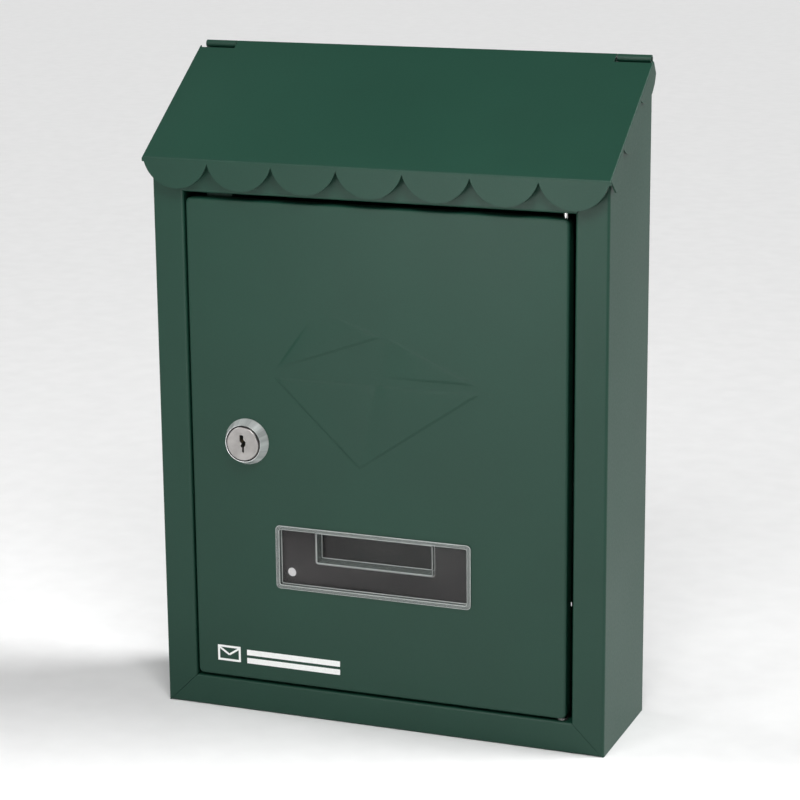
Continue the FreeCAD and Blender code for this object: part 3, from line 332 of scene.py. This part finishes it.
def shade_as_sheet(piece):
    """Keep flat panels flat in the shading, next to their rounded bends."""
    piece.data.set_sharp_from_angle(angle=SHARP_FROM)
    modifier = piece.modifiers.new("weighted", "WEIGHTED_NORMAL")
    modifier.keep_sharp = True
    modifier.weight = 100


def bmesh_of(vertices, faces, finishes=None):
    """A bmesh of vertices and faces, with each face's place among the materials if it is given."""
    mesh = bpy.data.meshes.new("blank")
    mesh.from_pydata(vertices, [], faces)
    if finishes:
        mesh.polygons.foreach_set("material_index", finishes)
    bm = bmesh.new()
    bm.from_mesh(mesh)
    bpy.data.meshes.remove(mesh)
    return bm


def lists_of(bm):
    """Turn a bmesh's faces outwards, free it, and give its vertices, faces and face materials."""
    bmesh.ops.recalc_face_normals(bm, faces=bm.faces)
    bm.verts.index_update()
    vertices = [vertex.co.copy() for vertex in bm.verts]
    faces = [[vertex.index for vertex in face.verts] for face in bm.faces]
    finishes = [face.material_index for face in bm.faces]
    bm.free()
    return vertices, faces, finishes


def object_of(name, bm):
    """A linked object made from a bmesh, which is then freed."""
    mesh = bpy.data.meshes.new(name)
    bm.to_mesh(mesh)
    bm.free()
    made = bpy.data.objects.new(name, mesh)
    scene.collection.objects.link(made)
    return made


def band(first, second):
    """Four-sided faces between two closed rings of vertex numbers."""
    count = len(first)
    return [[first[k], second[k], second[(k + 1) % count], first[(k + 1) % count]]
            for k in range(count)]


def rounded_rectangle(edges, radius, steps=5, inset=0.0):
    """Points round a rectangle of left, bottom, right and top edges, with rounded corners,
    moved inwards by inset."""
    left, bottom, right, top = edges
    reach = radius - inset
    points = []
    for x, z, start in ((right - radius, bottom + radius, -90), (right - radius, top - radius, 0),
                        (left + radius, top - radius, 90), (left + radius, bottom + radius, 180)):
        for step in range(steps + 1):
            angle = math.radians(start + 90 * step / steps)
            points.append((x + reach * math.cos(angle), z + reach * math.sin(angle)))
    return points


def divided(loop, spacing):
    """The loop with points added along its long sides."""
    points = []
    for index, here in enumerate(loop):
        there = loop[(index + 1) % len(loop)]
        count = max(1, round(math.dist(here, there) / spacing))
        points += [(here[0] + (there[0] - here[0]) * k / count,
                    here[1] + (there[1] - here[1]) * k / count) for k in range(count)]
    return points


def shrunk(edges, amounts):
    """The rectangle drawn in by one amount, or by one for each side."""
    if isinstance(amounts, float):
        amounts = (amounts,) * 4
    return (edges[0] + amounts[0], edges[1] + amounts[1],
            edges[2] - amounts[2], edges[3] - amounts[3])


# ---------------------------------------------------------------- name window

# Width of the rim's face, and how far inside the rim's edge the tray behind it stands.
RIM = 1.9 * MM
TRAY = 1.1 * MM
# Depth of the pane behind the rim's face, and the thickness of the pane and of the well's walls.
RECESS = 2.6 * MM
PANE = 1.0 * MM
WELL_WALL = 0.8 * MM
# Radius of the skin's bends and the steps that draw them, and radii of the corners seen from
# the front.
ROUND = 0.3 * MM
ROUND_STEPS = 3
RIM_CORNER = 2.0 * MM
RECESS_CORNER = 0.8 * MM
WELL_CORNER = 0.6 * MM
BACK_CORNER = 1.2 * MM
RIM_CHAMFER = 0.1 * MM
CLEAR_OF_DOOR = 0.03 * MM
# The finger well's mouth, measured from the rim's left, bottom, right and top edges.
WELL_INSETS = (19.0 * MM, 13.2 * MM, 18.9 * MM, 3.0 * MM)
# How far the well's walls lean in from mouth to floor, on the same four sides.
WELL_DRAFTS = (0.3 * MM, 0.8 * MM, 1.75 * MM, 0.3 * MM)
# The snap ridges: half their length, their height, and where each starts, is highest and ends
# behind the door's face.
SNAP_HALF = 6 * MM
SNAP_HEIGHT = 0.5 * MM
SNAP_START, SNAP_CREST, SNAP_END = 0.8 * MM, 1.05 * MM, 1.6 * MM
# Places of the window's three finishes among its materials; the third is a painted highlight on the
# rounded bends.
GLASSY, SATIN, PAINTED_HIGHLIGHT = 0, 1, 2


def add_snap_ridges(bm):
    """Wedges over and under the tray that catch behind the door's sheet."""
    left, bottom, right, top = shrunk(WINDOW_EDGES, TRAY)
    middle = (left + right) / 2
    for edge, away in ((bottom, -1), (top, 1)):
        base = edge + away * CLEAR_OF_DOOR
        outline = ((base, DOOR_FACE + SNAP_START), (base, DOOR_FACE + SNAP_END),
                   (edge + away * SNAP_HEIGHT, DOOR_FACE + SNAP_CREST))
        ends = [[bm.verts.new((middle + side * SNAP_HALF, y, z)) for z, y in outline]
                for side in (-1, 1)]
        walls = [(ends[0][k], ends[0][(k + 1) % 3], ends[1][(k + 1) % 3], ends[1][k])
                 for k in range(3)]
        for corners in ends + walls:
            bm.faces.new(corners)


def make_window():
    """Moulded in one skin: well floor, well, pane, recess, rim, and round to the back."""
    rim = WINDOW_EDGES
    recess = shrunk(rim, RIM)
    tray = shrunk(rim, TRAY)
    mouth = shrunk(rim, WELL_INSETS)
    floor = shrunk(mouth, WELL_DRAFTS)
    rim_face = window_low.y
    rim_back = DOOR_FACE - CLEAR_OF_DOOR
    pane_face = rim_face + RECESS
    pane_back = pane_face + PANE
    well_back = window_high.y
    levels = []
    finishes = []

    def level(edges, y, grow, radius, finish=SATIN):
        """One more ring of the skin, and the finish of the band that leads to it."""
        levels.append((rounded_rectangle(shrunk(edges, -grow), radius), y))
        finishes.append(finish)

    def bend(edges, y, flat_side, wall_side, corner, wall_first, finish=SATIN):
        """A quarter round between a wall at edges and a flat at y. The flat lies outside (1) or
        inside (-1) the wall, and the wall behind (1) or in front of (-1) the flat. finish is
        that of the one that comes first; the rest of the round gets the painted highlight."""
        rounds = []
        for step in range(ROUND_STEPS + 1):
            angle = math.radians(90 * step / ROUND_STEPS)
            rounds.append((flat_side * ROUND * (1 - math.cos(angle)),
                           wall_side * ROUND * (1 - math.sin(angle))))
        for grow, deeper in (rounds if wall_first else reversed(rounds)):
            level(edges, y + deeper, grow, corner + grow, finish)
            # Every band after the first carries the painted highlight.
            finish = PAINTED_HIGHLIGHT

    bend(floor, well_back - WELL_WALL, -1, -1, WELL_CORNER, False)
    bend(mouth, pane_face, 1, 1, WELL_CORNER, True)
    bend(recess, pane_face, -1, -1, RECESS_CORNER, False, GLASSY)
    bend(recess, rim_face, 1, 1, RECESS_CORNER, True)
    bend(rim, rim_face, -1, 1, RIM_CORNER, False)
    level(rim, rim_back - RIM_CHAMFER, 0.0, RIM_CORNER)
    level(rim, rim_back, -RIM_CHAMFER, RIM_CORNER - RIM_CHAMFER)
    level(tray, rim_back, 0.0, BACK_CORNER)
    bend(tray, pane_back, -1, -1, BACK_CORNER, True)
    bend(shrunk(mouth, -WELL_WALL), pane_back, 1, 1, BACK_CORNER, False, GLASSY)
    bend(shrunk(floor, -WELL_WALL), well_back, -1, -1, BACK_CORNER, True)

    vertices = [(x, y, z) for points, y in levels for x, z in points]
    count = len(levels[0][0])
    rings = [list(range(index * count, (index + 1) * count)) for index in range(len(levels))]
    faces = [rings[0], rings[-1][::-1]]
    face_finishes = [GLASSY, GLASSY]
    for first, second, finish in zip(rings, rings[1:], finishes[1:]):
        faces += band(first, second)
        face_finishes += [finish] * count
    bm = bmesh_of(vertices, faces, face_finishes)
    add_snap_ridges(bm)
    vertices, faces, face_finishes = lists_of(bm)
    piece = new_piece("name_window_clear", vertices, faces, CLEAR, "door",
                      ("name_window",))
    piece.data.materials.append(HAZY)
    piece.data.materials.append(HIGHLIGHT_PLASTIC)
    piece.data.polygons.foreach_set("material_index", face_finishes)
    shade_as_sheet(piece)


make_window()


# ---------------------------------------------------------------- door

# The sheet's thickness, and its bends: their outer and inner radius and the steps of each.
SHEET = 0.7 * MM
BEND = 1.2 * MM
INNER_BEND = BEND - SHEET
BEND_STEPS, INNER_STEPS = 7, 5
# Radius of the outline's corners, and of the rounding of the flange's cut edge.
CORNER = 2.5 * MM
EDGE_ROUND = 0.15 * MM
# Halfway round that edge, 1 - cos 45 degrees of its radius in from either face.
EDGE_HALFWAY = EDGE_ROUND * 0.3
# The window's opening is this far inside the rim's edge, with corners of this radius.
WINDOW_MARGIN = 0.9 * MM
WINDOW_CORNER = 0.4 * MM
# The lock's opening: its radius, how far its two flats are from the lock's axis, and the steps
# of each arc between them.
LOCK_RADIUS = 8.1 * MM
LOCK_FLAT = 7.1 * MM
LOCK_STEPS = 16
# Radius of the holes for the hinge rod, and how much longer than the door their cutter is.
ROD_HOLE = 1.25 * MM
CUTTER_EXTRA = 4 * MM
# Distances between points along the outline and the window's opening.
OUTLINE_SPACING = 6 * MM
OPENING_SPACING = 7 * MM

# Corners of the pressed envelope, in millimetres from the door's lower left corner.
LOWER_FLAP = ((41.3, 143.0), (81.3, 105.0), (136.8, 143.0))
UPPER_FLAP = ((92.3, 147.2), (134.6, 147.2), (94.0, 165.8))
SIDE_FLAP = ((42.0, 147.0), (92.0, 165.0), (62.7, 175.6))
FLAPS = (LOWER_FLAP, UPPER_FLAP, SIDE_FLAP)
# Across a flap's edge, in millimetres inside it, the sheet rises from the first of these to the
# last, by this height.
LEDGE = (-0.5, -0.15, 0.25, 0.65, 1.0)
FLAP_RISE = 0.64
# Crease down the lower flap, how far its slopes reach to either side, and the part of the rise
# that it takes away.
CREASE = ((89.2, 141.5), (82.3, 107.0))
CREASE_REACH = 6.0
CREASE_DIP = 0.3
# Above this height the crease breaks the flap's top edge, with the same two values.
BREAK_BOTTOM = CREASE[0][1] - 1
BREAK_REACH = 2.5
BREAK_DIP = 0.9
# The side flap rises out of the sheet between these distances from the left, and the upper flap
# between these, so that neither has a ledge at its left end.
SIDE_FADE = (38.0, 58.0)
UPPER_FADE = (91.5, 111.0)
# Above its lower edge the side flap sinks back into the sheet between these distances.
SIDE_CREST = (2.0, 16.0)
# Grids of points on the face: the spacing in millimetres, and whether it is the relief's grid.
GRIDS = ((7.0, False), (2.5, True))
# The relief's grid reaches this far round the flaps, in millimetres. Both grids stop this far
# from the outline.
RELIEF_MARGIN = 3.0
GRID_MARGIN = 3 * MM
# Distance in millimetres between points along the relief's lines.
LINE_SPACING = 2.5
# The triangulation keeps what lies inside the outline, and joins points closer than this.
INSIDE_OUTLINE = 1
SAME_POINT = 1e-7


def from_line(point, start, end):
    """Signed distance of a point from the line through start and end, positive to its left."""
    along_x, along_z = end[0] - start[0], end[1] - start[1]
    length = math.hypot(along_x, along_z)
    return ((point[1] - start[1]) * along_x - (point[0] - start[0]) * along_z) / length


def inside(point, corners):
    """Distance from a point to the nearest side of an anticlockwise triangle, inwards positive."""
    return min(from_line(point, corner, corners[(index + 1) % len(corners)])
               for index, corner in enumerate(corners))


def eased(value, start, end):
    """Rises smoothly from 0 at start to 1 at end."""
    share = min(max((value - start) / (end - start), 0.0), 1.0)
    return share * share * (3 - 2 * share)


def relief(x, z):
    """Height in mm of the pressed envelope over the door's flat face."""
    point = (x, z)
    lower, upper, side = (eased(inside(point, flap), LEDGE[0], LEDGE[-1]) for flap in FLAPS)
    from_crease = abs(from_line(point, *CREASE))
    lower *= 1 - CREASE_DIP * max(0.0, 1 - from_crease / CREASE_REACH)
    if z > BREAK_BOTTOM:
        lower *= 1 - BREAK_DIP * max(0.0, 1 - from_crease / BREAK_REACH)
    side *= eased(x, *SIDE_FADE)
    side *= 1 - eased(from_line(point, *SIDE_FLAP[:2]), *SIDE_CREST)
    upper *= eased(x, *UPPER_FADE)
    return FLAP_RISE * max(lower, upper, side)


def offset_corners(corners, amount):
    """Corners of a triangle drawn in by amount, keeping its sides parallel."""
    moved = []
    for index, corner in enumerate(corners):
        before, after = corners[index - 1], corners[(index + 1) % len(corners)]
        into = Vector((corner[0] - before[0], corner[1] - before[1])).normalized()
        out = Vector((after[0] - corner[0], after[1] - corner[1])).normalized()
        turn = into.x * out.y - into.y * out.x
        moved.append(Vector(corner) + (out - into) * (amount / turn))
    return moved


def relief_lines():
    """Lines, as lists of points in mm, that the door's mesh has to follow to draw the relief."""
    runs = []
    for flap in FLAPS:
        for amount in LEDGE:
            moved = offset_corners(flap, amount)
            runs += [(moved[index - 1], moved[index]) for index in range(len(moved))]
    start, end = Vector(CREASE[0]), Vector(CREASE[1])
    across = Vector((end.y - start.y, start.x - end.x)).normalized()
    for reach in (-CREASE_REACH, 0, CREASE_REACH):
        runs.append((start + across * reach, end + across * reach))
    lines = []
    for first, last in runs:
        count = max(1, round((last - first).length / LINE_SPACING))
        lines.append([first + (last - first) * k / count for k in range(count + 1)])
    return lines


def door_outline(inset):
    """Points round the door's outline, moved inwards by inset."""
    return divided(rounded_rectangle(DOOR_EDGES, CORNER, steps=6, inset=inset), OUTLINE_SPACING)


def door_edge():
    """Inset and depth of each ring from the flat front face round the bend, the flange and back
    inside."""
    rings = []
    centre = DOOR_FACE + BEND
    for step in range(1, BEND_STEPS + 1):
        angle = math.radians(90 * step / BEND_STEPS)
        rings.append((BEND - BEND * math.sin(angle), centre - BEND * math.cos(angle)))
    for inset, short in ((0, EDGE_ROUND), (EDGE_HALFWAY, EDGE_HALFWAY), (EDGE_ROUND, 0),
                         (SHEET - EDGE_ROUND, 0), (SHEET - EDGE_HALFWAY, EDGE_HALFWAY),
                         (SHEET, EDGE_ROUND)):
        rings.append((inset, door_high.y - short))
    for step in range(INNER_STEPS):
        angle = math.radians(90 - 90 * step / INNER_STEPS)
        rings.append((BEND - INNER_BEND * math.sin(angle), centre - INNER_BEND * math.cos(angle)))
    return rings


def lock_opening():
    """Points round the hole for the lock's body: two arcs, with a flat on either side."""
    half_flat = math.acos(LOCK_FLAT / LOCK_RADIUS)
    points = []
    for start in (half_flat, math.pi + half_flat):
        for k in range(LOCK_STEPS + 1):
            angle = start + (math.pi - 2 * half_flat) * k / LOCK_STEPS
            points.append((lock_axis.x + LOCK_RADIUS * math.cos(angle),
                           lock_axis.z + LOCK_RADIUS * math.sin(angle)))
    return points


def within(point, loop):
    """Whether a point lies inside a closed loop of points."""
    x, z = point
    crossings = 0
    for index, (x1, z1) in enumerate(loop):
        x0, z0 = loop[index - 1]
        if (z0 > z) != (z1 > z) and x < x0 + (z - z0) / (z1 - z0) * (x1 - x0):
            crossings += 1
    return crossings % 2 == 1


def grid_points():
    """Points in rows over the door's face, close where the relief is."""
    limit = door_outline(GRID_MARGIN)
    points = []
    for spacing, for_relief in GRIDS:
        for column in range(1, int((door_high.x - door_low.x) / MM / spacing)):
            for row in range(1, int((door_high.z - door_low.z) / MM / spacing)):
                x, z = column * spacing, row * spacing
                on_relief = max(inside((x, z), flap) for flap in FLAPS) > -RELIEF_MARGIN
                place = (door_low.x + x * MM, door_low.z + z * MM)
                if on_relief == for_relief and within(place, limit):
                    points.append(place)
    return points


def triangulated(loops):
    """Points and triangles of the door's face, and the numbers of each loop's points."""
    points, edges, numbers = [], [], []
    for loop in loops:
        first, count = len(points), len(loop)
        points += loop
        numbers.append(range(first, first + count))
        edges += [(first + k, first + (k + 1) % count) for k in range(count)]
    for line in relief_lines():
        first = len(points)
        points += [(door_low.x + x * MM, door_low.z + z * MM) for x, z in line]
        edges += [(first + k, first + k + 1) for k in range(len(line) - 1)]
    points += grid_points()
    flat_points, _, triangles, origins, _, _ = delaunay_2d_cdt(
        [Vector(point) for point in points], edges, [], INSIDE_OUTLINE, SAME_POINT)
    place = {source: index for index, sources in enumerate(origins) for source in sources}
    return flat_points, triangles, [[place[number] for number in loop] for loop in numbers]


def door_skin():
    """Vertices and faces of the pressed sheet: face with relief, flanges, and its openings."""
    opening = rounded_rectangle(shrunk(WINDOW_EDGES, WINDOW_MARGIN), WINDOW_CORNER, steps=2)
    window_loop = divided(opening, OPENING_SPACING)
    lock_loop = lock_opening()
    flat_points, triangles, (outline, *openings) = triangulated(
        (door_outline(BEND), window_loop, lock_loop))
    front, back = [], []
    for x, z in flat_points:
        height = relief((x - door_low.x) / MM, (z - door_low.z) / MM) * MM
        front.append((x, DOOR_FACE - height, z))
        back.append((x, DOOR_FACE + SHEET - height, z))
    vertices = front + back
    faces = []
    count = len(front)
    for triangle in triangles:
        middle = [sum(flat_points[index][axis] for index in triangle) / 3 for axis in (0, 1)]
        if not (within(middle, window_loop) or within(middle, lock_loop)):
            faces.append(list(triangle))
            faces.append([index + count for index in reversed(triangle)])
    previous = outline
    for inset, y in door_edge():
        ring = door_outline(inset)
        current = list(range(len(vertices), len(vertices) + len(ring)))
        vertices += [(x, y, z) for x, z in ring]
        faces += band(previous, current)
        previous = current
    faces += band(previous, [index + count for index in outline])
    for ring in openings:
        for here, after in zip(ring, ring[1:] + ring[:1]):
            faces.append([here, after, after + count, here + count])
    return vertices, faces


def make_door():
    """Pressed door pan: relief, rounded bends, window and lock openings, rod holes."""
    bm = bmesh_of(*door_skin())
    loose = [vertex for vertex in bm.verts if not vertex.link_faces]
    bmesh.ops.delete(bm, geom=loose, context="VERTS")
    bmesh.ops.recalc_face_normals(bm, faces=bm.faces)
    blank = object_of("door_blank", bm)
    # Holes for the hinge rod through both flanges.
    bm = bmesh.new()
    middle = Vector((door_pivot.x, door_pivot.y, (door_low.z + door_high.z) / 2))
    bmesh.ops.create_cone(bm, cap_ends=True, segments=32, radius1=ROD_HOLE, radius2=ROD_HOLE,
                          depth=door_high.z - door_low.z + CUTTER_EXTRA,
                          matrix=Matrix.Translation(middle))
    cutter = object_of("rod_cutter", bm)
    cut = blank.modifiers.new("rod_holes", "BOOLEAN")
    cut.operation = "DIFFERENCE"
    cut.object = cutter
    cut.solver = "EXACT"
    bpy.context.view_layer.update()
    finished = bpy.data.meshes.new_from_object(
        blank.evaluated_get(bpy.context.evaluated_depsgraph_get()))
    bpy.data.objects.remove(blank)
    bpy.data.objects.remove(cutter)
    piece = new_piece("door_panel_pressed", [vertex.co for vertex in finished.vertices],
                      [list(polygon.vertices) for polygon in finished.polygons],
                      GREEN, "door", ("door_panel",))
    bpy.data.meshes.remove(finished)
    shade_as_sheet(piece)


make_door()


# ---------------------------------------------------------------- printed symbol

PRINT_THICKNESS = 0.03 * MM
# From the door's lower left corner to the symbol's.
PRINT_RIGHT = 10.0 * MM
PRINT_UP = 7.4 * MM
# The envelope, in mm: its width, height and line, where its flap starts under the top line and
# comes to a point, and the flap's line.
WIDE, TALL, LINE = 11.4, 7.4, 1.0
FLAP_TOP = TALL - LINE - 0.2
FLAP_POINT = TALL * 0.42
FLAP_LINE = LINE * 0.9
# The two bars beside it, in mm: their left and right ends, heights and thickness.
BAR_LEFT, BAR_RIGHT = WIDE + 3.2, 60.5
BAR_HEIGHTS = (5.2, 1.3)
BAR_THICKNESS = 2.6


def make_symbol():
    """A plain envelope symbol and two bars, screen printed low on the door."""
    corner = Vector((door_low.x + PRINT_RIGHT, DOOR_FACE, door_low.z + PRINT_UP))
    half = LINE / 2
    lines = [
        (0, half, WIDE, half, LINE),
        (0, TALL - half, WIDE, TALL - half, LINE),
        (half, LINE, half, TALL - LINE, LINE),
        (WIDE - half, LINE, WIDE - half, TALL - LINE, LINE),
        (LINE, FLAP_TOP, WIDE / 2, FLAP_POINT, FLAP_LINE),
        (WIDE / 2, FLAP_POINT, WIDE - LINE, FLAP_TOP, FLAP_LINE),
    ]
    lines += [(BAR_LEFT, height, BAR_RIGHT, height, BAR_THICKNESS) for height in BAR_HEIGHTS]
    vertices, faces = [], []
    for x0, z0, x1, z1, width in lines:
        length = math.hypot(x1 - x0, z1 - z0)
        off_x, off_z = -(z1 - z0) / length * width / 2, (x1 - x0) / length * width / 2
        outline = ((x0 - off_x, z0 - off_z), (x1 - off_x, z1 - off_z),
                   (x1 + off_x, z1 + off_z), (x0 + off_x, z0 + off_z))
        first = len(vertices)
        vertices += [(corner.x + x * MM, y, corner.z + z * MM)
                     for y in (corner.y - PRINT_THICKNESS, corner.y) for x, z in outline]
        front, back = list(range(first, first + 4)), list(range(first + 4, first + 8))
        faces += [front, back[::-1], *band(front, back)]
    vertices, faces, _ = lists_of(bmesh_of(vertices, faces))
    piece = new_piece("door_print", vertices, faces, INK, "door")
    piece.data.shade_flat()


make_symbol()


# ---------------------------------------------------------------- stage, light and camera

FLOOR_HALF = 8.0
SUN_SPREAD = math.radians(30)
# Name, place, point aimed at, width, height and power of each softbox, in metres and watts.
SOFTBOXES = (
    ("near_top_right", (0.14, -0.38, 0.45), (0.04, -0.06, 0.12), 0.15, 0.15, 1.4),
    ("near_right", (0.27, -0.42, 0.36), (0.06, -0.06, 0.10), 0.15, 0.15, 0.3),
    ("near_front", (-0.07, -0.60, 0.04), (0.04, -0.06, 0.11), 0.2, 0.2, 0.75),
    ("front", (-0.25, -1.2, 0.16), (0, -0.06, 0.05), 0.7, 0.45, 0.1),
    ("front_high", (-0.28, -0.78, 0.52), (0, -0.06, 0.05), 0.3, 0.35, 1.7),
    ("side_low", (1.0, 0.75, 0.0), (0.1, -0.03, -0.05), 0.6, 0.25, 0.4),
)
# Grey sky in bands: height of the direction and brightness, from the horizon up.
SKY = ((0.2, 0.03), (0.6, 0.05), (0.95, 0.16))
# From a fit to the photo: the camera's place in metres, its angles in degrees, lens and sensor
# in millimetres.
CAMERA_PLACE = (0.4005, -1.0597, 0.2783)
CAMERA_AZIMUTH, CAMERA_ELEVATION, CAMERA_ROLL = 21.31, 14.26, -0.51
LENS, SENSOR = 114.62, 36
CLIP_NEAR, CLIP_FAR = 0.05, 50


def make_floor():
    """A large sheet of paper that the box stands on."""
    bm = bmesh.new()
    bmesh.ops.create_grid(bm, x_segments=4, y_segments=4, size=FLOOR_HALF)
    for vertex in bm.verts:
        vertex.co.z = FLOOR
    floor = object_of("floor", bm)
    floor.data.materials.append(studio_paper())


def lamp_of(light, place, target):
    """A lamp at a place, turned to a target."""
    lamp = bpy.data.objects.new(light.name, light)
    lamp.location = place
    lamp.rotation_euler = (Vector(target) - lamp.location).to_track_quat("-Z", "Y").to_euler()
    scene.collection.objects.link(lamp)
    return lamp


def softbox(name, place, target, width, height, power):
    """A rectangular lamp that the camera doesn't see."""
    light = bpy.data.lights.new(name, "AREA")
    light.shape = "RECTANGLE"
    light.size, light.size_y = width, height
    light.energy = power
    lamp_of(light, place, target).visible_camera = False


def make_sun(name, place, strength):
    """A broad high light, the same all over the floor."""
    light = bpy.data.lights.new(name, "SUN")
    light.energy = strength
    light.angle = SUN_SPREAD
    lamp_of(light, place, (0, 0, 0))


def make_world():
    """A sky that only gets brighter upwards, to light the scene evenly from all sides."""
    world = bpy.data.worlds.new("studio")
    scene.world = world
    world.use_nodes = True
    tree = world.node_tree
    background = tree.nodes["Background"]
    coordinates = tree.nodes.new("ShaderNodeTexCoord")
    split = tree.nodes.new("ShaderNodeSeparateXYZ")
    ramp = tree.nodes.new("ShaderNodeValToRGB")
    tree.links.new(coordinates.outputs["Generated"], split.inputs["Vector"])
    tree.links.new(split.outputs["Z"], ramp.inputs["Fac"])
    tree.links.new(ramp.outputs["Color"], background.inputs["Color"])
    bands = ramp.color_ramp.elements
    while len(bands) < len(SKY):
        bands.new(0.5)
    for one, (height, bright) in zip(bands, SKY):
        one.position = height
        one.color = (bright, bright, bright, 1)
    background.inputs["Strength"].default_value = 1.0


def make_camera():
    """Long lens from the front right, a little above the box."""
    azimuth, elevation, roll = (math.radians(angle) for angle in
                                (CAMERA_AZIMUTH, CAMERA_ELEVATION, CAMERA_ROLL))
    back = Vector((math.sin(azimuth) * math.cos(elevation),
                   -math.cos(azimuth) * math.cos(elevation), math.sin(elevation)))
    right = (-back).cross(Vector((0, 0, 1))).normalized()
    up = right.cross(-back)
    right, up = (right * math.cos(roll) + up * math.sin(roll),
                 up * math.cos(roll) - right * math.sin(roll))
    data = bpy.data.cameras.new("camera")
    data.sensor_width = SENSOR
    data.lens = LENS
    data.clip_start, data.clip_end = CLIP_NEAR, CLIP_FAR
    camera = bpy.data.objects.new("camera", data)
    turn = Matrix((right, up, back)).transposed().to_4x4()
    camera.matrix_world = Matrix.Translation(CAMERA_PLACE) @ turn
    scene.collection.objects.link(camera)
    scene.camera = camera


make_floor()
make_world()
make_sun("sun_right", (0.75, 0.25, 0.62), 3.1)
make_sun("sun_left", (-0.75, -0.10, 0.65), 1.0)
for settings in SOFTBOXES:
    softbox(*settings)
make_camera()
